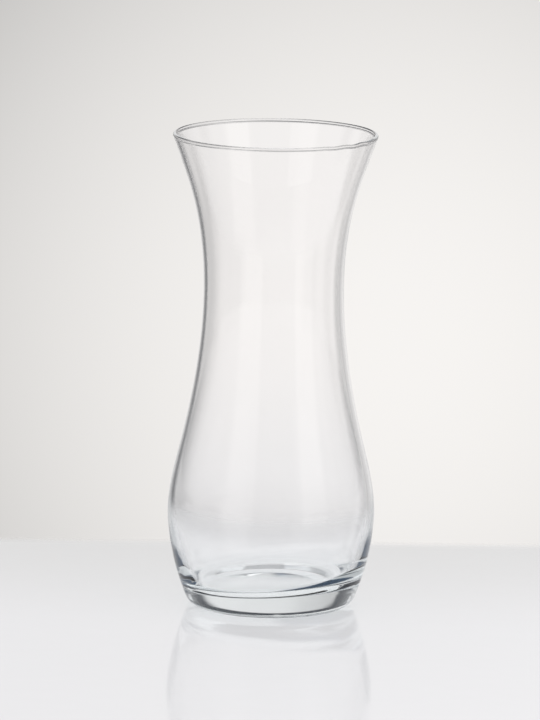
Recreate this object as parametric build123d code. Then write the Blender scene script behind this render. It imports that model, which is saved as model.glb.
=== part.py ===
from build123d import *
import math
import os

# A hyacinth forcing vase: one piece of clear blown glass, open at the top,
# with a flared mouth, a narrow waist, a full belly and a thick base.
# The vase stands on z = 0 and its axis is the Z axis. All sizes are in mm.

# Overall height
VASE_HEIGHT = 200.0

# Outside of the glass: radius and height of each station, from the base up
HEEL_RADIUS = 35.8
HEEL_HEIGHT = 4.0
LOWER_RADIUS = 39.3
LOWER_HEIGHT = 14.0
FLANK_RADIUS = 41.5
FLANK_HEIGHT = 23.0
BELLY_RADIUS = 43.4
BELLY_HEIGHT = 40.0
SHOULDER_RADIUS = 38.1
SHOULDER_HEIGHT = 70.0
NECK_RADIUS = 32.1
NECK_HEIGHT = 100.0
WAIST_RADIUS = 29.3
WAIST_HEIGHT = 133.0
FLARE_RADIUS = 32.8
FLARE_HEIGHT = 168.0
RIM_RADIUS = 42.8

# Thickness of the glass at the same stations, measured square to the wall
LOWER_WALL = 4.3
FLANK_WALL = 3.5
BELLY_WALL = 2.2
SHOULDER_WALL = 1.9
NECK_WALL = 1.75
WAIST_WALL = 1.65
FLARE_WALL = 1.4

# Rounded edge of the mouth, a little thicker than the wall just under it
RIM_THICKNESS = 1.6
RIM_LEAN = 24.0

# Thick base: glass under the cavity, its flat middle, and the hollow underneath
BASE_THICKNESS = 9.4
FLOOR_FLAT_RADIUS = 22.0
HEEL_LEAN = 22.0
FOOT_RING_WIDTH = 3.0
PUNT_DEPTH = 1.5

# Points taken on the inside of the glass from one station to the next
POINTS_PER_SPAN = 3


def section_point(radius, height):
    """Point of the half section, which lies in the XZ plane."""
    return Vector(radius, 0, height)


def square_to(direction):
    """Unit vector in the section, a quarter turn clockwise from a direction."""
    return Vector(direction.Z, 0, -direction.X).normalized()


def foot_outer_radius():
    """Radius at which the foot edge, one arc, touches both the table and the wall."""
    turn = math.radians(90.0 - HEEL_LEAN)
    return HEEL_RADIUS - HEEL_HEIGHT / math.tan(turn / 2.0)


def rim_points():
    """Outer end, top and inner end of the rounded edge, square to the leaning wall."""
    half = RIM_THICKNESS / 2.0
    lean = math.radians(RIM_LEAN)
    centre = section_point(RIM_RADIUS - half, VASE_HEIGHT - half)
    along = Vector(math.sin(lean), 0, math.cos(lean))
    across = square_to(along)
    return centre + across * half, centre + along * half, centre - across * half


def outer_wall():
    """Outside of the glass, one smooth curve from the heel to the rim."""
    rim_outer, _, _ = rim_points()
    return Spline(
        section_point(HEEL_RADIUS, HEEL_HEIGHT),
        section_point(LOWER_RADIUS, LOWER_HEIGHT),
        section_point(FLANK_RADIUS, FLANK_HEIGHT),
        section_point(BELLY_RADIUS, BELLY_HEIGHT),
        section_point(SHOULDER_RADIUS, SHOULDER_HEIGHT),
        section_point(NECK_RADIUS, NECK_HEIGHT),
        section_point(WAIST_RADIUS, WAIST_HEIGHT),
        section_point(FLARE_RADIUS, FLARE_HEIGHT),
        rim_outer,
    )


def wall_stations():
    """Point on the outside and thickness of the wall, from the base up to the rim."""
    rim_outer, _, _ = rim_points()
    return [
        (section_point(LOWER_RADIUS, LOWER_HEIGHT), LOWER_WALL),
        (section_point(FLANK_RADIUS, FLANK_HEIGHT), FLANK_WALL),
        (section_point(BELLY_RADIUS, BELLY_HEIGHT), BELLY_WALL),
        (section_point(SHOULDER_RADIUS, SHOULDER_HEIGHT), SHOULDER_WALL),
        (section_point(NECK_RADIUS, NECK_HEIGHT), NECK_WALL),
        (section_point(WAIST_RADIUS, WAIST_HEIGHT), WAIST_WALL),
        (section_point(FLARE_RADIUS, FLARE_HEIGHT), FLARE_WALL),
        (rim_outer, RIM_THICKNESS),
    ]


def inner_points(outer):
    """Points on the inside, each the wall's thickness in from the outside curve."""
    _, _, rim_inner = rim_points()
    places = [(outer.param_at_point(point), wall) for point, wall in wall_stations()]
    points = []
    for (place, wall), (next_place, next_wall) in zip(places, places[1:]):
        for step in range(POINTS_PER_SPAN):
            share = step / POINTS_PER_SPAN
            here = place + share * (next_place - place)
            thickness = wall + share * (next_wall - wall)
            inward = -square_to(outer.tangent_at(here))
            points.append(outer.position_at(here) + inward * thickness)
    return points + [rim_inner]


def cavity_corner(wall):
    """Round corner between the wall's lower end and the flat middle of the floor."""
    start = wall.position_at(0)
    down = -wall.tangent_at(0)
    drop = (start.Z - BASE_THICKNESS) / -down.Z
    floor_edge = section_point(FLOOR_FLAT_RADIUS, BASE_THICKNESS)
    return Bezier(start, start + down * drop, floor_edge)


def glass_section():
    """Closed half section of the glass, right of the axis."""
    rim_outer, rim_top, rim_inner = rim_points()
    outer = outer_wall()
    inner = Spline(*inner_points(outer))
    heel = section_point(HEEL_RADIUS, HEEL_HEIGHT)
    foot_outer = section_point(foot_outer_radius(), 0)
    foot_inner = section_point(foot_outer_radius() - FOOT_RING_WIDTH, 0)
    punt_top = section_point(0, PUNT_DEPTH)
    floor_edge = section_point(FLOOR_FLAT_RADIUS, BASE_THICKNESS)
    floor_centre = section_point(0, BASE_THICKNESS)
    level = Vector(1, 0, 0)
    outline = [
        TangentArc(punt_top, foot_inner, tangent=level),
        Line(foot_inner, foot_outer),
        TangentArc(foot_outer, heel, tangent=level),
        outer,
        ThreePointArc(rim_outer, rim_top, rim_inner),
        inner,
        cavity_corner(inner),
        Line(floor_edge, floor_centre),
        Line(floor_centre, punt_top),
    ]
    return make_face(outline)


def glass_vase():
    """The whole vase, the half section turned once round its axis."""
    return revolve(glass_section(), axis=Axis.Z, revolution_arc=360)


os.makedirs("parts", exist_ok=True)
export_step(glass_vase(), "parts/glass_vase.step")
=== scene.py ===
import math

import bpy
import numpy as np
from mathutils import Matrix, Vector


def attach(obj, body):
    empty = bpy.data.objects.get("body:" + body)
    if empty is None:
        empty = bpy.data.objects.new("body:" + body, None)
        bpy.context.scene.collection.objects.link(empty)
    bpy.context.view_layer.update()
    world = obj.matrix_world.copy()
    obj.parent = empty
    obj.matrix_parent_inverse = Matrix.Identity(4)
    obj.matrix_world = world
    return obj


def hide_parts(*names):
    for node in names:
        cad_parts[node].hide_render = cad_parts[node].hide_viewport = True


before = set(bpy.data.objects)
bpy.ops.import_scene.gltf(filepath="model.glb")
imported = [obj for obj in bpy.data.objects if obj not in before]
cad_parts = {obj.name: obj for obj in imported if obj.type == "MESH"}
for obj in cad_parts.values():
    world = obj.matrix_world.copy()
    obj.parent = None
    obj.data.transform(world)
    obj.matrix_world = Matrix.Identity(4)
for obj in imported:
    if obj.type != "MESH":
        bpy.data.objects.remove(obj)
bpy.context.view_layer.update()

# A clear glass vase for one hyacinth bulb, standing on a pale glossy table.
# Places and sizes on the glass are in mm. All others, and what goes into a node's
# own inputs, are in metres. Angles are in degrees. The vase stands on z = 0 round
# the Z axis, left is -X and the camera is at -Y.

MM = 0.001

# ---------------------------------------------------------------- camera

AIM_HEIGHT = 0.1
CAMERA_DISTANCE = 3.0
CAMERA_ELEVATION = 10.35
CAMERA_ROLL = 0.727
PIXELS_PER_METRE = 2388.0
IMAGE_HEIGHT_PX = 720
AIM_RIGHT_PX = -2.9
AIM_UP_PX = 9.2
SENSOR_MM = 36.0


def add_camera():
    """Long lens, a little above the vase, turned slightly about its own axis."""
    data = bpy.data.cameras.new("camera")
    data.sensor_width = SENSOR_MM
    data.lens = PIXELS_PER_METRE * CAMERA_DISTANCE / IMAGE_HEIGHT_PX * SENSOR_MM
    camera = bpy.data.objects.new("camera", data)
    bpy.context.scene.collection.objects.link(camera)
    elevation = math.radians(CAMERA_ELEVATION)
    forward = Vector((0.0, math.cos(elevation), -math.sin(elevation)))
    right = Vector((1.0, 0.0, 0.0))
    up = right.cross(forward)
    aim = Vector((0.0, 0.0, AIM_HEIGHT))
    aim += right * (AIM_RIGHT_PX / PIXELS_PER_METRE) + up * (AIM_UP_PX / PIXELS_PER_METRE)
    roll = Matrix.Rotation(math.radians(CAMERA_ROLL), 3, "Z")
    turn = Matrix((right, up, -forward)).transposed() @ roll
    camera.matrix_world = Matrix.Translation(aim - forward * CAMERA_DISTANCE) @ turn.to_4x4()
    bpy.context.scene.camera = camera


# ---------------------------------------------------------------- glass shape

VASE_HEIGHT = 200.0
# From the heel up: radius and height of the outside, and thickness of the wall on
# the left and on the right, which the photograph shows to differ
STATIONS = np.array([
    (35.8, 4.0, 6.0, 6.0),
    (39.3, 14.0, 3.8, 4.4),
    (41.5, 23.0, 3.5, 3.6),
    (43.4, 40.0, 2.0, 2.6),
    (38.1, 70.0, 1.5, 2.2),
    (32.1, 100.0, 1.4, 2.1),
    (29.3, 133.0, 1.35, 2.0),
    (32.8, 168.0, 1.35, 1.5),
])
HEEL_LEAN = 22.0
FOOT_RING_WIDTH = 3.0
PUNT_DEPTH = 1.5

# The rim is a round bead, which stands proud of the wall inside: its arc goes on
# under the bead by RIM_UNDERCUT before it meets the wall.
RIM_RADIUS = 42.8
RIM_THICKNESS = 1.8
RIM_LEAN = 24.0
RIM_UNDERCUT = 58.0
# It dips a little, in waves, over the front right quarter and down to WAVE_LOW.
WAVE_FROM = -78.0
WAVE_TO = -2.0
WAVES = 5
WAVE_DEPTH = 0.35
WAVE_LOW = 188.0

# The floor of the cavity slopes up to the right. A round corner joins it to the wall,
# from a height on the wall that differs from left to right.
FLOOR_HEIGHT = 9.9
FLOOR_SLOPE = 0.05
CORNER_START_LEFT = 12.2
CORNER_START_RIGHT = 20.5
CORNER_LEAN = 1.6
# The wall's thickness changes gradually: it is the mean over this length of wall.
BLEND_LENGTH = 18.0
BLEND_STEPS = 9

# Grid of the mesh. The rings lie closer towards the rim, one of them just under it.
STEPS_ROUND = 288
STEPS_PUNT = 14
STEPS_FOOT = 3
STEPS_HEEL = 14
STEPS_WALL = 116
STEPS_RIM = 21
STEPS_CORNER = 36
STEPS_FLOOR = 12
CROWD_TO_RIM = 1.25
CLOSE_TO_RIM = 0.9992


def crowded(steps):
    """Numbers from 0 to 1, 1 - (1 - u) to a power, which lie closer towards 1."""
    return 1.0 - np.linspace(1.0, 0.0, steps) ** CROWD_TO_RIM


def smooth_curve(points, steps):
    """Cubic curve through the points, its parameter the chord length run so far.

    The second derivatives at the points are the solution of the usual
    three-term equations, and they are zero at both ends. Returns steps points,
    closer towards the end, and the parameter there and at the points.
    """
    knots = np.concatenate([[0.0], np.cumsum(np.hypot(*np.diff(points, axis=0).T))])
    gap = np.diff(knots)
    slope = np.diff(points, axis=0) / gap[:, None]
    count = len(points)
    system = np.eye(count)
    inner = np.arange(1, count - 1)
    system[inner, inner - 1] = gap[:-1]
    system[inner, inner] = 2.0 * (gap[:-1] + gap[1:])
    system[inner, inner + 1] = gap[1:]
    bend_side = np.zeros_like(points)
    bend_side[1:-1] = 6.0 * np.diff(slope, axis=0)
    bend = np.linalg.solve(system, bend_side)
    at = knots[-1] * crowded(steps)
    span = np.clip(np.searchsorted(knots, at, side="right") - 1, 0, count - 2)
    h = gap[span][:, None]
    a = (knots[span + 1] - at)[:, None] / h
    b = 1.0 - a
    curve = a * points[span] + b * points[span + 1]
    curve += ((a**3 - a) * bend[span] + (b**3 - b) * bend[span + 1]) * h**2 / 6.0
    return curve, at, knots


def arc_points(start, end, start_angle, steps):
    """Circular arc from start to end that leaves start at start_angle (radians)."""
    chord = end - start
    half_turn = math.atan2(chord[1], chord[0]) - start_angle
    radius = math.hypot(chord[0], chord[1]) / (2.0 * math.sin(half_turn))
    angle = start_angle + 2.0 * half_turn * np.linspace(0.0, 1.0, steps)
    centre = start + radius * np.array([-math.sin(start_angle), math.cos(start_angle)])
    return centre + radius * np.stack([np.sin(angle), -np.cos(angle)], axis=1)


def outer_section():
    """Half section of the outside, as (radius, height) rows in mm, and the wall alone.

    It runs from the middle of the hollow under the base, out over the foot
    ring, round the heel, up the outside and over the rim to its inner side.
    """
    half = RIM_THICKNESS / 2.0
    lean = math.radians(RIM_LEAN)
    bead = np.array([RIM_RADIUS - half, VASE_HEIGHT - half])
    rim_outer = bead + half * np.array([math.cos(lean), -math.sin(lean)])
    stations = np.vstack([STATIONS[:, :2], rim_outer])
    wall, at, knots = smooth_curve(stations, STEPS_WALL)

    heel = stations[0]
    turn = math.radians(90.0 - HEEL_LEAN)
    foot_outer = np.array([heel[0] - heel[1] / math.tan(turn / 2.0), 0.0])
    foot_inner = foot_outer - [FOOT_RING_WIDTH, 0.0]
    punt = arc_points(np.array([0.0, PUNT_DEPTH]), foot_inner, 0.0, STEPS_PUNT)
    foot = np.linspace(foot_inner, foot_outer, STEPS_FOOT)
    heel_arc = arc_points(foot_outer, heel, 0.0, STEPS_HEEL)
    angle = np.linspace(-lean, math.pi - lean + math.radians(RIM_UNDERCUT), STEPS_RIM)
    rim = bead + half * np.stack([np.cos(angle), np.sin(angle)], axis=1)
    outside = np.vstack([punt, foot[1:], heel_arc[1:], wall[1:], rim[1:]])
    return outside, wall, at, knots


def blended(at, knots, values):
    """Values given at the knots, as straight lines between them, averaged over BLEND_LENGTH."""
    shifts = BLEND_LENGTH * np.linspace(-0.5, 0.5, BLEND_STEPS)
    return np.interp(at[:, None] + shifts, knots, values).mean(axis=1)


def inner_wall(wall, at, knots, share):
    """Radius and height of the wall's inside, one row a point and one column an angle.

    It is the outside moved inwards, square to itself, by the thickness there,
    which runs from the left value to the right one as share goes from 0 to 1.
    """
    left = blended(at, knots[:-1], STATIONS[:, 2])
    right = blended(at, knots[:-1], STATIONS[:, 3])
    thickness = left[:, None] + share * (right - left)[:, None]
    along = np.gradient(wall, axis=0)
    along /= np.hypot(along[:, 0], along[:, 1])[:, None]
    return wall[:, :1] - along[:, 1:] * thickness, wall[:, 1:] + along[:, :1] * thickness


def round_corner(start, meet, end, half_turn, steps):
    """Circular arc from start to end, without start, whose tangents cross at meet.

    P = ((1-t)(1-t) start + 2wt(1-t) meet + tt end) / ((1-t)(1-t) + 2wt(1-t) + tt),
    where w is the cosine of half the angle through which the arc turns.
    """
    t = np.linspace(0.0, 1.0, steps)[1:, None]
    from_start, from_meet, from_end = (1 - t) ** 2, 2 * np.cos(half_turn) * t * (1 - t), t**2
    whole = from_start + from_meet + from_end
    return [(from_start * a + from_meet * b + from_end * c) / whole for a, b, c in zip(start, meet, end)]


def inner_surface(wall, at, knots, angle):
    """Radius and height of the cavity's surface, one row a ring and one column an angle.

    share is 0 on the left and 1 on the right: (1 + cos angle) / 2. The inside of
    the wall is taken at heights from the bead's lower end down to the corner's
    start. The corner is an arc that touches the wall's line there and the floor,
    and the floor's height is FLOOR_HEIGHT + FLOOR_SLOPE cos(angle) radius.
    """
    share = (1.0 + np.cos(angle)) / 2.0
    slope = FLOOR_SLOPE * np.cos(angle)
    radius, height = inner_wall(wall, at, knots, share)

    first = CORNER_START_LEFT + share**CORNER_LEAN * (CORNER_START_RIGHT - CORNER_START_LEFT)
    undercut = math.sin(math.radians(RIM_UNDERCUT))
    bead_drop = RIM_THICKNESS / 2.0 * undercut * math.cos(math.radians(RIM_LEAN))
    to_top = np.insert(crowded(STEPS_WALL)[::-1], 1, CLOSE_TO_RIM)[:, None]
    columns = range(len(angle))
    wanted = first + to_top * (height[-1] - bead_drop - first)
    wall_radius = np.stack([np.interp(wanted[:, k], height[:, k], radius[:, k]) for k in columns], axis=1)
    wall_lean = (wall_radius[-2] - wall_radius[-1]) / (wanted[-2] - wanted[-1])

    drop = (first - FLOOR_HEIGHT - slope * wall_radius[-1]) / (1.0 - slope * wall_lean)
    meet_radius = wall_radius[-1] - drop * wall_lean
    reach = drop * np.hypot(1.0, wall_lean)
    end_radius = meet_radius - reach * np.cos(np.arctan(slope))
    half_turn = (math.pi / 2.0 - np.arctan(wall_lean) - np.arctan(slope)) / 2.0
    corner = round_corner((wall_radius[-1], first), (meet_radius, first - drop),
                          (end_radius, FLOOR_HEIGHT + slope * end_radius), half_turn, STEPS_CORNER)
    floor_radius = np.linspace(1.0, 0.0, STEPS_FLOOR)[1:-1, None] * end_radius
    floor_height = FLOOR_HEIGHT + slope * floor_radius
    return (np.vstack([wall_radius, corner[0], floor_radius]),
            np.vstack([wanted, corner[1], floor_height]))


def rim_dip(angle, height):
    """Drop in mm at each point, waves over a quarter of the rim that die away downwards.

    It is D (sin pi u)^2 (sin pi n u)^2 h^2, u the share of the way from WAVE_FROM to
    WAVE_TO, n the number of waves, D their depth, h the share from WAVE_LOW to the rim.
    """
    turn = np.degrees((angle + math.pi) % (2.0 * math.pi) - math.pi)
    u = np.clip((turn - WAVE_FROM) / (WAVE_TO - WAVE_FROM), 0.0, 1.0)
    up = np.clip((height - WAVE_LOW) / (VASE_HEIGHT - WAVE_LOW), 0.0, 1.0)
    return WAVE_DEPTH * np.sin(math.pi * u) ** 2 * np.sin(math.pi * WAVES * u) ** 2 * up**2


def ring_faces(rings):
    """Faces between the rings, four-sided, then a fan of triangles at each of the two poles.

    Point k of ring r is number r * STEPS_ROUND + k, and the poles come after the rings.
    """
    start = np.arange(rings - 1)[:, None] * STEPS_ROUND
    step = np.arange(STEPS_ROUND)
    after = (step + 1) % STEPS_ROUND
    quads = np.stack([start + step, start + after, start + STEPS_ROUND + after,
                      start + STEPS_ROUND + step], axis=2).reshape(-1, 4)
    under = rings * STEPS_ROUND
    last = under - STEPS_ROUND
    fan_under = np.stack([np.full(STEPS_ROUND, under), after, step], axis=1)
    fan_top = np.stack([np.full(STEPS_ROUND, under + 1), last + step, last + after], axis=1)
    return quads.tolist() + fan_under.tolist() + fan_top.tolist()


def vase_mesh(name):
    """Closed mesh of the glass: the outside turned round the axis, then the cavity.

    A point is (radius cos angle, radius sin angle, height less the rim's dip).
    """
    angle = np.linspace(0.0, 2.0 * math.pi, STEPS_ROUND, endpoint=False)
    outside, wall, at, knots = outer_section()
    inner_radius, inner_height = inner_surface(wall, at, knots, angle)
    radius = np.vstack([np.repeat(outside[1:, :1], STEPS_ROUND, axis=1), inner_radius])
    height = np.vstack([np.repeat(outside[1:, 1:], STEPS_ROUND, axis=1), inner_height])
    height = height - rim_dip(angle, height)
    rings = np.stack([radius * np.cos(angle), radius * np.sin(angle), height], axis=2)
    poles = np.array([[0.0, 0.0, outside[0, 1]], [0.0, 0.0, FLOOR_HEIGHT]])
    points = np.vstack([rings.reshape(-1, 3), poles]) * MM

    mesh = bpy.data.meshes.new(name)
    mesh.from_pydata(points.tolist(), [], ring_faces(len(radius)))
    mesh.polygons.foreach_set("use_smooth", np.ones(len(mesh.polygons), dtype=bool))
    mesh.update()
    return mesh


# ---------------------------------------------------------------- node helpers

RISING = (0.0, 1.0)
FALLING = (1.0, 0.0)


def new_node(tree, kind, values=None, **settings):
    """Add a node, set its properties, then its input values by socket name."""
    node = tree.nodes.new(kind)
    for key, value in settings.items():
        setattr(node, key, value)
    for key, value in (values or {}).items():
        node.inputs[key].default_value = value
    return node


def link(tree, source, target):
    """Join an output socket to an input socket."""
    tree.links.new(source, target)


def math_node(tree, operation, first, second=None, clamp=False):
    """Math node whose inputs are sockets or plain numbers; returns its output."""
    node = new_node(tree, "ShaderNodeMath", operation=operation, use_clamp=clamp)
    for index, value in enumerate((first, second)):
        if value is None:
            continue
        if isinstance(value, (int, float)):
            node.inputs[index].default_value = value
        else:
            link(tree, value, node.inputs[index])
    return node.outputs[0]


def smooth_step(tree, value, span, ends=RISING):
    """Number that goes smoothly from one end to the other while the value crosses the span."""
    node = new_node(tree, "ShaderNodeMapRange", interpolation_type="SMOOTHSTEP")
    link(tree, value, node.inputs["Value"])
    node.inputs["From Min"].default_value, node.inputs["From Max"].default_value = span
    node.inputs["To Min"].default_value, node.inputs["To Max"].default_value = ends
    return node.outputs["Result"]


def mm_step(tree, value, span, ends=RISING):
    """Smooth step for a span given in mm."""
    return smooth_step(tree, value, (span[0] * MM, span[1] * MM), ends)


def at_least(tree, value, count):
    """1 where a whole number is the count or more, 0 elsewhere."""
    return math_node(tree, "GREATER_THAN", value, count - 0.5)


def colour_mix(tree, factor, first, second):
    """Colour between two, each of them a socket or a plain colour."""
    node = new_node(tree, "ShaderNodeMix", data_type="RGBA")
    link(tree, factor, node.inputs["Factor"])
    for name, colour in (("A", first), ("B", second)):
        if isinstance(colour, tuple):
            node.inputs[name].default_value = colour
        else:
            link(tree, colour, node.inputs[name])
    return node.outputs["Result"]


def shader_mix(tree, factor, first, second):
    """Shader between two shaders."""
    node = new_node(tree, "ShaderNodeMixShader")
    link(tree, factor, node.inputs["Fac"])
    link(tree, first, node.inputs[1])
    link(tree, second, node.inputs[2])
    return node.outputs["Shader"]


def object_place(tree):
    """Place on the object as a vector, and the node that holds its X, Y and Z."""
    place = new_node(tree, "ShaderNodeTexCoord").outputs["Object"]
    parts = new_node(tree, "ShaderNodeSeparateXYZ")
    link(tree, place, parts.inputs["Vector"])
    return place, parts


def empty_tree(owner):
    """Switch an owner to nodes and clear them."""
    owner.use_nodes = True
    owner.node_tree.nodes.clear()
    return owner.node_tree


def uneven_group():
    """Node group for a surface that is not quite flat: a noise is its height."""
    group = bpy.data.node_groups.new("uneven_surface", "ShaderNodeTree")
    group.interface.new_socket("Vector", in_out="INPUT", socket_type="NodeSocketVector")
    for name in ("Scale", "Detail", "Roughness", "Strength", "Distance"):
        group.interface.new_socket(name, in_out="INPUT", socket_type="NodeSocketFloat")
    group.interface.new_socket("Normal", in_out="OUTPUT", socket_type="NodeSocketVector")
    given = new_node(group, "NodeGroupInput")
    noise = new_node(group, "ShaderNodeTexNoise")
    bump = new_node(group, "ShaderNodeBump")
    result = new_node(group, "NodeGroupOutput")
    for name in ("Vector", "Scale", "Detail", "Roughness"):
        link(group, given.outputs[name], noise.inputs[name])
    for name in ("Strength", "Distance"):
        link(group, given.outputs[name], bump.inputs[name])
    link(group, noise.outputs["Fac"], bump.inputs["Height"])
    link(group, bump.outputs["Normal"], result.inputs["Normal"])
    return group


def uneven_normal(tree, group, place, values):
    """Normal of an uneven surface, from the group with this material's own values."""
    node = new_node(tree, "ShaderNodeGroup", node_tree=group)
    for name, value in values.items():
        node.inputs[name].default_value = value
    link(tree, place, node.inputs["Vector"])
    return node.outputs["Normal"]


# ---------------------------------------------------------------- glass

GLASS_IOR = 1.52
# The glass is a little darker and cooler low down, and a little warm higher up.
LOW_GLASS_COLOUR = (0.965, 0.967, 0.974, 1.0)
HIGH_GLASS_COLOUR = (1.0, 0.995, 0.992, 1.0)
GLASS_COLOUR_SPAN = (30.0, 120.0)
ABSORPTION = {"Color": (0.78, 0.92, 0.95, 1.0), "Density": 4.0}
# Blown glass is uneven in swells that are four times as long up the wall as round it.
SWELL_STRETCH = (1.0, 1.0, 0.25)
SWELL = {"Scale": 60.0, "Detail": 2.0, "Roughness": 0.4, "Strength": 0.15, "Distance": 0.0002}
# Smears on the polished surface
SMEARS = {"Scale": 35.0, "Detail": 4.0, "Roughness": 0.6}
SMEAR_SPAN = (0.55, 0.8)
SMEAR_ROUGHNESS = (0.0, 0.02)

# Light that has been reflected or bent this often in the glass goes straight on, in a
# colour by height that is painted shade, nearly black at the rim.
MOST_REFLECTIONS = 4
MOST_BOUNCES = 10
PAINTED_EDGE_SHADES = (
    (0.0, (0.96, 0.965, 0.97, 1.0)),
    (18.0, (0.94, 0.95, 0.955, 1.0)),
    (26.0, (0.85, 0.865, 0.875, 1.0)),
    (188.0, (0.86, 0.865, 0.87, 1.0)),
    (195.0, (0.03, 0.03, 0.035, 1.0)),
)
# Painted shade, dark blue, low down on the left and on the right: beyond these places
# across and below these heights.
BLUE_SHADE_COLOUR = (0.05, 0.09, 0.15, 1.0)
BLUE_SHADE_LEFT = (-28.0, -20.0)
BLUE_SHADE_LEFT_BELOW = (18.0, 23.0)
BLUE_SHADE_RIGHT = (3.0, 9.0)
BLUE_SHADE_RIGHT_BELOW = (22.0, 32.0)
# Light that falls through the glass on the table goes straight on in this colour.
SHADOW_COLOUR = (0.975, 0.98, 0.98, 1.0)

# Slanting ripples low on the cavity's wall, left and right, where the hot glass was
# drawn out. That wall, unlike the outside, lies within a cone, whose radius is
# RIPPLE_INSIDE at the foot and grows by RIPPLE_WIDENING of the height. The turn
# that slants the ripples is in radians.
RIPPLE_TURN = (0.5, 0.6, 0.3)
RIPPLE_BANDS = {"Scale": 60.0, "Distortion": 1.2, "Detail": 1.0, "Detail Scale": 1.5}
RIPPLE_BUMP = {"Strength": 1.0, "Distance": 0.000025}
RIPPLE_BELOW = (16.0, 26.0)
RIPPLE_LEFT = (-31.0, -22.0)
RIPPLE_RIGHT = (24.0, 33.0)
RIPPLE_INSIDE = 34.5
RIPPLE_WIDENING = 0.21


def axis_distance(tree, place):
    """Distance from the vase's axis."""
    flat = new_node(tree, "ShaderNodeVectorMath", operation="MULTIPLY")
    link(tree, place, flat.inputs[0])
    flat.inputs[1].default_value = (1.0, 1.0, 0.0)
    radius = new_node(tree, "ShaderNodeVectorMath", operation="LENGTH")
    link(tree, flat.outputs["Vector"], radius.inputs[0])
    return radius.outputs["Value"]


def ripple_height(tree, place, parts):
    """Height of the slanting ripples: bands, only low down, at the sides and on the inside."""
    turned = new_node(tree, "ShaderNodeMapping", {"Rotation": RIPPLE_TURN})
    link(tree, place, turned.inputs["Vector"])
    bands = new_node(tree, "ShaderNodeTexWave", RIPPLE_BANDS, wave_type="BANDS", bands_direction="Z")
    link(tree, turned.outputs["Vector"], bands.inputs["Vector"])
    low = mm_step(tree, parts.outputs["Z"], RIPPLE_BELOW, FALLING)
    on_left = mm_step(tree, parts.outputs["X"], RIPPLE_LEFT, FALLING)
    on_right = mm_step(tree, parts.outputs["X"], RIPPLE_RIGHT)
    shown = math_node(tree, "MULTIPLY", low, math_node(tree, "ADD", on_left, on_right))
    lifted = math_node(tree, "MULTIPLY", parts.outputs["Z"], RIPPLE_WIDENING)
    from_axis = math_node(tree, "SUBTRACT", axis_distance(tree, place), lifted)
    inside = math_node(tree, "LESS_THAN", from_axis, RIPPLE_INSIDE * MM)
    return math_node(tree, "MULTIPLY", bands.outputs["Fac"], math_node(tree, "MULTIPLY", shown, inside))


def glass_normal(tree, group, place, parts):
    """Normal of the glass: swells all over, with the slanting ripples on them."""
    stretch = new_node(tree, "ShaderNodeMapping", {"Scale": SWELL_STRETCH})
    link(tree, place, stretch.inputs["Vector"])
    swell = uneven_normal(tree, group, stretch.outputs["Vector"], SWELL)
    bump = new_node(tree, "ShaderNodeBump", RIPPLE_BUMP)
    link(tree, ripple_height(tree, place, parts), bump.inputs["Height"])
    link(tree, swell, bump.inputs["Normal"])
    return bump.outputs["Normal"]


def blue_shade_side(tree, parts, across, below, ends):
    """Share of the painted dark blue shade on one side: beyond a place across and below a height."""
    beyond = mm_step(tree, parts.outputs["X"], across, ends)
    low = mm_step(tree, parts.outputs["Z"], below, FALLING)
    return math_node(tree, "MULTIPLY", beyond, low)


def painted_edge_shade(tree, parts):
    """Painted shade for light that goes straight on, by height and side, nearly black at the rim."""
    share = math_node(tree, "DIVIDE", parts.outputs["Z"], VASE_HEIGHT * MM)
    ramp = new_node(tree, "ShaderNodeValToRGB")
    link(tree, share, ramp.inputs["Fac"])
    stops = ramp.color_ramp.elements
    for height, colour in PAINTED_EDGE_SHADES[1:-1]:
        stops.new(height / VASE_HEIGHT).color = colour
    stops[0].color = PAINTED_EDGE_SHADES[0][1]
    stops[-1].position = PAINTED_EDGE_SHADES[-1][0] / VASE_HEIGHT
    stops[-1].color = PAINTED_EDGE_SHADES[-1][1]
    # Painted shade, dark blue, low on the left and on the right
    left = blue_shade_side(tree, parts, BLUE_SHADE_LEFT, BLUE_SHADE_LEFT_BELOW, FALLING)
    right = blue_shade_side(tree, parts, BLUE_SHADE_RIGHT, BLUE_SHADE_RIGHT_BELOW, RISING)
    return colour_mix(tree, math_node(tree, "MAXIMUM", left, right), ramp.outputs["Color"], BLUE_SHADE_COLOUR)


def straight_light(tree, parts):
    """Clear shader for light that goes straight on, painted shade if trapped, and the share that does."""
    path = new_node(tree, "ShaderNodeLightPath")
    on_table = at_least(tree, path.outputs["Diffuse Depth"], 1)
    plain = math_node(tree, "MAXIMUM", path.outputs["Is Shadow Ray"], on_table)
    trapped = at_least(tree, path.outputs["Glossy Depth"], MOST_REFLECTIONS)
    worn_out = at_least(tree, path.outputs["Ray Depth"], MOST_BOUNCES)
    share = math_node(tree, "MAXIMUM", plain, math_node(tree, "MAXIMUM", trapped, worn_out))
    clear = new_node(tree, "ShaderNodeBsdfTransparent")
    link(tree, colour_mix(tree, plain, painted_edge_shade(tree, parts), SHADOW_COLOUR), clear.inputs["Color"])
    return clear.outputs["BSDF"], share


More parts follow.
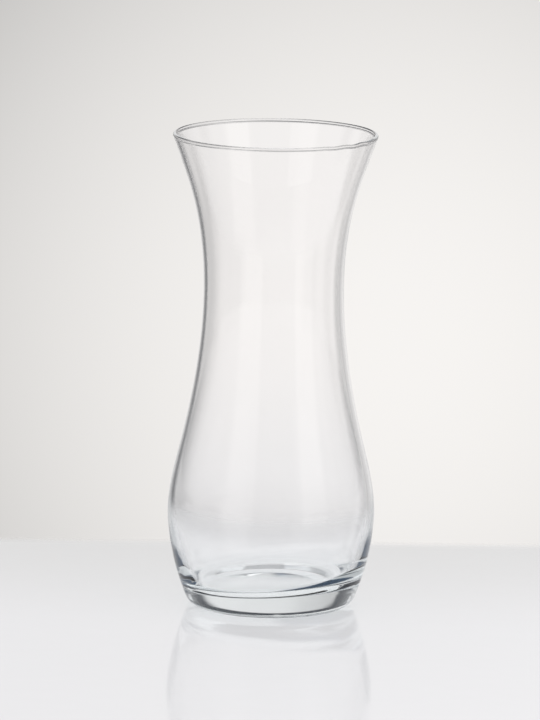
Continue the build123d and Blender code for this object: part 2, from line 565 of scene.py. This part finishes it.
def glass_material(group):
    """Clear blown glass: swells, ripples, a few smears, a faint tint and painted shade on trapped light.
    """
    material = bpy.data.materials.new("clear_blown_glass")
    tree = empty_tree(material)
    place, parts = object_place(tree)
    glass = new_node(tree, "ShaderNodeBsdfPrincipled", {"IOR": GLASS_IOR, "Transmission Weight": 1.0})
    height_share = mm_step(tree, parts.outputs["Z"], GLASS_COLOUR_SPAN)
    link(tree, colour_mix(tree, height_share, LOW_GLASS_COLOUR, HIGH_GLASS_COLOUR), glass.inputs["Base Color"])
    smears = new_node(tree, "ShaderNodeTexNoise", SMEARS)
    link(tree, place, smears.inputs["Vector"])
    roughness = smooth_step(tree, smears.outputs["Fac"], SMEAR_SPAN, SMEAR_ROUGHNESS)
    link(tree, roughness, glass.inputs["Roughness"])
    link(tree, glass_normal(tree, group, place, parts), glass.inputs["Normal"])
    clear, share = straight_light(tree, parts)
    depth = new_node(tree, "ShaderNodeVolumeAbsorption", ABSORPTION)
    out = new_node(tree, "ShaderNodeOutputMaterial")
    link(tree, shader_mix(tree, share, glass.outputs["BSDF"], clear), out.inputs["Surface"])
    link(tree, depth.outputs["Volume"], out.inputs["Volume"])
    return material


def add_vase(group):
    """The vase in one piece, which takes the place of its plain solid."""
    vase = bpy.data.objects.new("vase_glass", vase_mesh("vase_glass"))
    bpy.context.scene.collection.objects.link(vase)
    vase.data.materials.append(glass_material(group))
    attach(vase, "root")
    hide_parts("glass_vase")


# ---------------------------------------------------------------- table

TABLE_RADIUS = 0.45
TABLE_FADE = 0.10
TABLE_DROP = 0.00002
TABLE_SIDES = 96
# The table ends this far behind the vase, softly, and more so as seen in the glass.
TABLE_FAR_EDGE = 0.123
EDGE_SOFT = 0.008
EDGE_SOFT_IN_GLASS = 0.05
# Colours near and far, the far ones darker in painted shade: as they are, and as they are
# seen in the glass, where the near one is lighter in painted light
TABLE_NEAR = (0.79, 0.79, 0.81, 1.0)
TABLE_FAR = (0.70, 0.70, 0.705, 1.0)
TABLE_SHADE_SPAN = (-0.06, TABLE_FAR_EDGE)
IN_GLASS_NEAR_LIT = (0.88, 0.88, 0.89, 1.0)
IN_GLASS_FAR_SHADED = (0.71, 0.71, 0.72, 1.0)
IN_GLASS_SPAN = (0.05, 0.11)
# Colour of the table in a reflection, darker: painted shade
TABLE_MIRRORED_SHADE = (0.66, 0.66, 0.67, 1.0)
TABLE_GLOSS = {"Roughness": 0.07, "IOR": 1.22}
TABLE_WAVES = {"Scale": 45.0, "Detail": 1.0, "Roughness": 0.5, "Strength": 0.6, "Distance": 0.0001}


def table_colour(tree, behind, path):
    """Colour by distance behind the vase, painted darker far back, and by what the table is seen in."""
    in_glass = path.outputs["Is Transmission Ray"]
    mirrored = math_node(tree, "SUBTRACT", path.outputs["Is Glossy Ray"], in_glass, clamp=True)
    # The far part is painted darker as shade, and in the glass the near part is painted lighter.
    bare = colour_mix(tree, smooth_step(tree, behind, TABLE_SHADE_SPAN), TABLE_NEAR, TABLE_FAR)
    through = colour_mix(tree, smooth_step(tree, behind, IN_GLASS_SPAN), IN_GLASS_NEAR_LIT, IN_GLASS_FAR_SHADED)
    # In a reflection the table takes a darker colour, painted shade.
    return colour_mix(tree, mirrored, colour_mix(tree, in_glass, bare, through), TABLE_MIRRORED_SHADE)


def table_extent(tree, place, behind, path):
    """1 where the table is, 0 beyond its far edge and its round edge, smooth between."""
    soft = new_node(tree, "ShaderNodeMix", {"A": EDGE_SOFT, "B": EDGE_SOFT_IN_GLASS}, data_type="FLOAT")
    link(tree, path.outputs["Is Transmission Ray"], soft.inputs["Factor"])
    past_edge = math_node(tree, "SUBTRACT", behind, TABLE_FAR_EDGE)
    past = math_node(tree, "DIVIDE", past_edge, soft.outputs["Result"])
    distance = new_node(tree, "ShaderNodeVectorMath", operation="LENGTH")
    link(tree, place, distance.inputs[0])
    round_span = (TABLE_RADIUS - TABLE_FADE, TABLE_RADIUS)
    round_fade = smooth_step(tree, distance.outputs["Value"], round_span, FALLING)
    return math_node(tree, "MULTIPLY", round_fade, smooth_step(tree, past, (-1.0, 1.0), FALLING))


def table_material(group):
    """Pale glossy table top, which ends softly behind the vase and far out all round."""
    material = bpy.data.materials.new("pale_table")
    tree = empty_tree(material)
    place, parts = object_place(tree)
    behind = parts.outputs["Y"]
    path = new_node(tree, "ShaderNodeLightPath")
    top = new_node(tree, "ShaderNodeBsdfPrincipled", TABLE_GLOSS)
    link(tree, table_colour(tree, behind, path), top.inputs["Base Color"])
    link(tree, uneven_normal(tree, group, place, TABLE_WAVES), top.inputs["Normal"])
    gone = new_node(tree, "ShaderNodeBsdfTransparent")
    there = table_extent(tree, place, behind, path)
    out = new_node(tree, "ShaderNodeOutputMaterial")
    link(tree, shader_mix(tree, there, gone.outputs["BSDF"], top.outputs["BSDF"]), out.inputs["Surface"])
    return material


def add_table(group):
    """Flat disc just under the vase: a middle point and one ring of points."""
    angle = np.linspace(0.0, 2.0 * math.pi, TABLE_SIDES, endpoint=False)
    ring = np.stack([np.cos(angle), np.sin(angle), np.zeros_like(angle)], axis=1) * TABLE_RADIUS
    points = np.vstack([[0.0, 0.0, 0.0], ring]) - [0.0, 0.0, TABLE_DROP]
    step = np.arange(TABLE_SIDES)
    middle = np.zeros(TABLE_SIDES, dtype=int)
    faces = np.stack([middle, step + 1, (step + 1) % TABLE_SIDES + 1], axis=1)
    mesh = bpy.data.meshes.new("floor")
    mesh.from_pydata(points.tolist(), [], faces.tolist())
    mesh.update()
    mesh.materials.append(table_material(group))
    floor = bpy.data.objects.new("floor", mesh)
    bpy.context.scene.collection.objects.link(floor)


# ---------------------------------------------------------------- light

# What glass sees of the studio, as (bearing, tone) stops. A bearing is counted
# counter-clockwise from +X. First low down, grouped by what stands there:
LOW_TONES = (
    # the right wall, as far as the screen behind the vase
    (0, 0.60), (30, 0.55), (40, 0.50), (53, 0.52), (62, 0.58), (68, 0.62), (72, 0.72),
    # that screen, which darkens towards its left side
    (76, 0.88), (81, 0.95), (86, 0.93), (90, 0.91), (92.8, 0.85), (94.5, 0.77),
    (96.4, 0.64), (98.2, 0.54), (102.5, 0.36),
    # a black card
    (109, 0.06), (117, 0.02), (121, 0.04),
    # the screen behind on the left
    (128, 0.60), (133, 0.86), (137, 0.84), (141, 0.68), (147, 0.46),
    # a dark grey card
    (155, 0.22), (160, 0.22),
    # the screen on the left
    (168, 0.60), (175, 0.86), (181, 0.86), (185, 0.78), (188, 0.62),
    # the left wall
    (193, 0.54), (200, 0.50), (207, 0.50), (212, 0.62),
    # the bright side, where the camera is
    (220, 0.84), (236, 0.88), (270, 0.88), (309, 0.88), (317, 0.86),
    # the right wall again
    (321, 0.68), (327, 0.55), (335, 0.55), (342, 0.60), (350, 0.60),
)
# Higher up: a black card behind on the right and another behind on the left, and
# a bright screen on each side of the camera
HIGH_TONES = (
    (0, 0.60), (28, 0.50), (36, 0.30), (42, 0.10), (47, 0.20), (55, 0.74), (65, 0.82),
    (95, 0.80), (107, 0.68), (118, 0.60), (127, 0.54), (132, 0.04), (144, 0.03),
    (150, 0.40), (160, 0.75), (200, 0.75), (210, 0.70), (222, 1.0), (234, 1.0),
    (246, 0.70), (295, 0.70), (309, 1.10), (333, 1.10), (345, 0.60),
)
# The low tones give way to the high ones between these elevations.
LOW_TO_HIGH = (-6.0, 4.0)
# What a reflection shows: the bright screen on each side of the camera
SHEEN_TONES = (
    (0, 0.62), (30, 0.62), (50, 0.85), (200, 0.70), (210, 0.75), (216, 1.2), (222, 1.35),
    (246, 1.35), (250, 1.2), (253, 0.70), (302, 0.70), (306, 1.3), (309, 1.45),
    (331, 1.40), (340, 0.62),
)
# A dark band round the horizon, which only the rim's and the foot's edges show, and
# the elevations between which it begins and ends
HORIZON_TONES = (
    (0, 0.30), (60, 0.02), (89, 0.0), (90.5, 0.02), (92, 0.45), (93.5, 0.40), (95, 0.05),
    (125, 0.05), (140, 0.30), (200, 0.80), (340, 0.80),
)
HORIZON_FROM = (-4.6, -3.2)
HORIZON_TO = (7.0, 9.0)
BRIGHTEST_TONE = 1.6
# Beyond the table's far edge the studio is a little darker, this far down.
DIM_BELOW = (-17.0, -11.0)
DIM_SHARE = 0.86
# Above the screens the studio's far side is dark, and over it hangs a bright panel.
# Both are given by elevation. Light that has been through the wall twice sees the
# dark from higher up, as the screens reach further there.
DARK_ABOVE_ONCE = (15.0, 20.0)
DARK_ABOVE_TWICE = (25.0, 31.0)
FAR_SIDE = (-0.1, 0.2)
DARK_TONE = 0.0
PANEL_ABOVE = (63.0, 70.0)
PANEL_TONE = 1.15
# Transmission depth of light that has gone into the glass and out again once
ONCE_THROUGH = 2
# Colours of tone 0 and tone 1
DARKEST = (0.006, 0.012, 0.022, 1.0)
BRIGHT = (1.0, 0.98, 0.97, 1.0)

# The backdrop that the camera sees: the direction of its brightest place, how far
# from there it darkens, and how it grows brighter again outside the picture
BACKDROP_BRIGHT = Vector((0.018, 0.984, -0.176))
BACKDROP_REACH = 0.075
BACKDROP_FAR = (0.15, 0.40)
BACKDROP_FAR_SHARE = (0.0, 0.8)
BACKDROP_DARK_COLOUR = (0.577, 0.567, 0.555, 1.0)
BACKDROP_BRIGHT_COLOUR = (0.925, 0.905, 0.885, 1.0)
# The light that falls on everything
PLAIN_LIGHT = {"Color": (1.0, 0.995, 0.99, 1.0), "Strength": 0.95}


def tone_curve(tree, turn_share, stops):
    """Tone at a bearing, by a smooth curve through the stops, which join up at 360."""
    node = new_node(tree, "ShaderNodeFloatCurve")
    curve = node.mapping.curves[0]
    for bearing, tone in stops[1:]:
        curve.points.new(bearing / 360.0, tone / BRIGHTEST_TONE)
    curve.points[0].location = (0.0, stops[0][1] / BRIGHTEST_TONE)
    curve.points[-1].location = (1.0, stops[0][1] / BRIGHTEST_TONE)
    for point in curve.points:
        point.handle_type = "AUTO_CLAMPED"
    node.mapping.update()
    link(tree, turn_share, node.inputs["Value"])
    return math_node(tree, "MULTIPLY", node.outputs["Value"], BRIGHTEST_TONE)


def tone_mix(tree, factor, first, second):
    """Tone between two tones."""
    node = new_node(tree, "ShaderNodeMix", data_type="FLOAT")
    link(tree, factor, node.inputs["Factor"])
    link(tree, first, node.inputs["A"])
    link(tree, second, node.inputs["B"])
    return node.outputs["Result"]


def look_angles(tree, parts):
    """Bearing as a share of a turn, and elevation in degrees, of a direction's X, Y and Z."""
    bearing = math_node(tree, "ARCTAN2", parts.outputs["Y"], parts.outputs["X"])
    turns = math_node(tree, "MULTIPLY", bearing, 1.0 / (2.0 * math.pi))
    turn_share = math_node(tree, "FRACT", math_node(tree, "ADD", turns, 1.0))
    height = math_node(tree, "ARCSINE", parts.outputs["Z"])
    return turn_share, math_node(tree, "MULTIPLY", height, 180.0 / math.pi)


def screen_tone(tree, turn_share, elevation, path, once):
    """Tone of the walls, screens and cards round the vase, and of the band at the horizon."""
    in_glass = path.outputs["Is Transmission Ray"]
    low = tone_curve(tree, turn_share, LOW_TONES)
    dim = smooth_step(tree, elevation, DIM_BELOW, (DIM_SHARE, 1.0))
    low = math_node(tree, "MULTIPLY", low, dim)
    high = tone_curve(tree, turn_share, HIGH_TONES)
    through = tone_mix(tree, smooth_step(tree, elevation, LOW_TO_HIGH), low, high)
    screens = tone_mix(tree, in_glass, tone_curve(tree, turn_share, SHEEN_TONES), through)
    above = smooth_step(tree, elevation, HORIZON_FROM)
    band = math_node(tree, "MULTIPLY", above, smooth_step(tree, elevation, HORIZON_TO, FALLING))
    band = math_node(tree, "MULTIPLY", band, math_node(tree, "MULTIPLY", once, in_glass))
    return tone_mix(tree, band, screens, tone_curve(tree, turn_share, HORIZON_TONES))


def studio_colour(tree, parts, path):
    """Colour that glass sees in a direction: screens, and the dark and the panel over them."""
    turn_share, elevation = look_angles(tree, parts)
    once = math_node(tree, "LESS_THAN", path.outputs["Transmission Depth"], ONCE_THROUGH + 0.5)
    screens = screen_tone(tree, turn_share, elevation, path, once)
    over = smooth_step(tree, elevation, PANEL_ABOVE, (DARK_TONE, PANEL_TONE))
    after_once = smooth_step(tree, elevation, DARK_ABOVE_ONCE)
    after_twice = smooth_step(tree, elevation, DARK_ABOVE_TWICE)
    high_up = tone_mix(tree, once, after_twice, after_once)
    far_side = smooth_step(tree, parts.outputs["Y"], FAR_SIDE)
    tone = tone_mix(tree, math_node(tree, "MULTIPLY", high_up, far_side), screens, over)
    colour = new_node(tree, "ShaderNodeMix", data_type="RGBA", clamp_factor=False)
    colour.inputs["A"].default_value = DARKEST
    colour.inputs["B"].default_value = BRIGHT
    link(tree, tone, colour.inputs["Factor"])
    return colour.outputs["Result"]


def backdrop_colour(tree, direction):
    """Backdrop, brightest in one direction: 1 - (distance / reach) squared, then rising again."""
    from_bright = new_node(tree, "ShaderNodeVectorMath", operation="DISTANCE")
    link(tree, direction, from_bright.inputs[0])
    from_bright.inputs[1].default_value = BACKDROP_BRIGHT
    away = from_bright.outputs["Value"]
    share_out = math_node(tree, "DIVIDE", away, BACKDROP_REACH)
    squared = math_node(tree, "MULTIPLY", share_out, share_out)
    near = math_node(tree, "SUBTRACT", 1.0, squared, clamp=True)
    far = smooth_step(tree, away, BACKDROP_FAR, BACKDROP_FAR_SHARE)
    share = math_node(tree, "MAXIMUM", near, far)
    return colour_mix(tree, share, BACKDROP_DARK_COLOUR, BACKDROP_BRIGHT_COLOUR)


def studio_light():
    """World: a pale backdrop for the camera, a studio for glass, plain light for the rest."""
    world = bpy.data.worlds.new("studio")
    bpy.context.scene.world = world
    tree = empty_tree(world)
    direction = new_node(tree, "ShaderNodeTexCoord").outputs["Generated"]
    parts = new_node(tree, "ShaderNodeSeparateXYZ")
    link(tree, direction, parts.inputs["Vector"])
    path = new_node(tree, "ShaderNodeLightPath")
    reflected, bent = path.outputs["Is Glossy Ray"], path.outputs["Is Transmission Ray"]
    glass_ray = math_node(tree, "MAXIMUM", reflected, bent)
    on_table = at_least(tree, path.outputs["Diffuse Depth"], 1)
    glass_ray = math_node(tree, "SUBTRACT", glass_ray, on_table, clamp=True)

    plain = new_node(tree, "ShaderNodeBackground", PLAIN_LIGHT)
    studio = new_node(tree, "ShaderNodeBackground", {"Strength": 1.0})
    link(tree, studio_colour(tree, parts, path), studio.inputs["Color"])
    backdrop = new_node(tree, "ShaderNodeBackground", {"Strength": 1.0})
    link(tree, backdrop_colour(tree, direction), backdrop.inputs["Color"])
    others = shader_mix(tree, glass_ray, plain.outputs["Background"], studio.outputs["Background"])
    whole = shader_mix(tree, path.outputs["Is Camera Ray"], others, backdrop.outputs["Background"])
    out = new_node(tree, "ShaderNodeOutputWorld")
    link(tree, whole, out.inputs["Surface"])


SOFTBOX_BEARING = 51.0
SOFTBOX_DISTANCE = 1.0
SOFTBOX_WIDTH = 0.85
SOFTBOX_HEIGHT = 1.2
SOFTBOX_MIDDLE = 0.55
SOFTBOX_WATTS = 4.2


def add_softbox():
    """Large soft lamp, its bearing counted from the camera to the right.

    Glass doesn't see it: the studio's bright screen there is its likeness.
    """
    data = bpy.data.lights.new("softbox", "AREA")
    data.shape = "RECTANGLE"
    data.size = SOFTBOX_WIDTH
    data.size_y = SOFTBOX_HEIGHT
    data.energy = SOFTBOX_WATTS
    lamp = bpy.data.objects.new("softbox", data)
    bpy.context.scene.collection.objects.link(lamp)
    bearing = math.radians(SOFTBOX_BEARING)
    place = Vector((math.sin(bearing), -math.cos(bearing), 0.0)) * SOFTBOX_DISTANCE
    place.z = SOFTBOX_MIDDLE
    lamp.location = place
    from_vase = place - Vector((0.0, 0.0, AIM_HEIGHT))
    lamp.rotation_euler = from_vase.to_track_quat("Z", "Y").to_euler()
    lamp.visible_glossy = False
    lamp.visible_transmission = False


# ---------------------------------------------------------------- build

bpy.context.scene.view_settings.view_transform = "Standard"

uneven = uneven_group()
add_camera()
add_vase(uneven)
add_table(uneven)
studio_light()
add_softbox()
